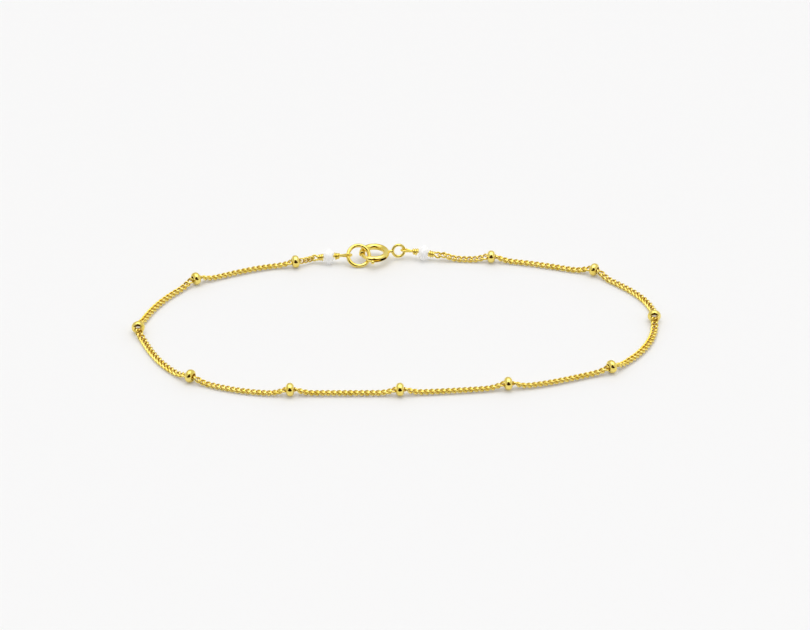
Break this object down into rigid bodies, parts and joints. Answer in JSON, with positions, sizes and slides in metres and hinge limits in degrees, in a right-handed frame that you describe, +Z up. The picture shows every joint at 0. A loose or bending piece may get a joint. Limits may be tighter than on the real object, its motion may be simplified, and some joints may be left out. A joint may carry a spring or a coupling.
{
  "type": "satellite chain bracelet",
  "caption": "Fine gold curb chain bracelet with small satellite beads along it, a faceted white stone on a wrapped wire each side of a spring ring clasp, lying closed.",
  "frame": {"origin": "on the surface under the middle of the bracelet's box", "axes": "+X along the long way of the loop, +Y from the front of the loop to the clasp, +Z up off the surface"},
  "size_m": [0.0746, 0.0376, 0.0027],
  "materials": {
    "gold_chain": "polished gold",
    "gold_bead": "polished gold",
    "gold_wire": "polished gold",
    "gold_clasp": "polished gold",
    "white_stone": "polished, cut in facets"
  },
  "bodies": {
    "bracelet": {"chain": "gold_chain", "satellite_bead_01": "gold_bead", "satellite_bead_02": "gold_bead", "satellite_bead_03": "gold_bead", "satellite_bead_04": "gold_bead", "satellite_bead_05": "gold_bead", "satellite_bead_06": "gold_bead", "satellite_bead_07": "gold_bead", "satellite_bead_08": "gold_bead", "satellite_bead_09": "gold_bead", "satellite_bead_10": "gold_bead", "satellite_bead_11": "gold_bead", "stone_left": "white_stone", "stone_right": "white_stone", "wire_link_left": "gold_wire", "wire_link_right": "gold_wire", "jump_ring": "gold_wire", "clasp_ring": "gold_clasp"},
    "trigger": {"clasp_trigger": "gold_clasp"}
  },
  "joints": [
    {"name": "trigger_turn", "type": "hinge", "parent": "bracelet", "child": "trigger", "pos_m": [-0.00339, 0.0166, 0.00138], "axis": [0, 0, 1], "range_deg": [0, 50], "stiffness_Nm_per_rad": 0.001}
  ]
}
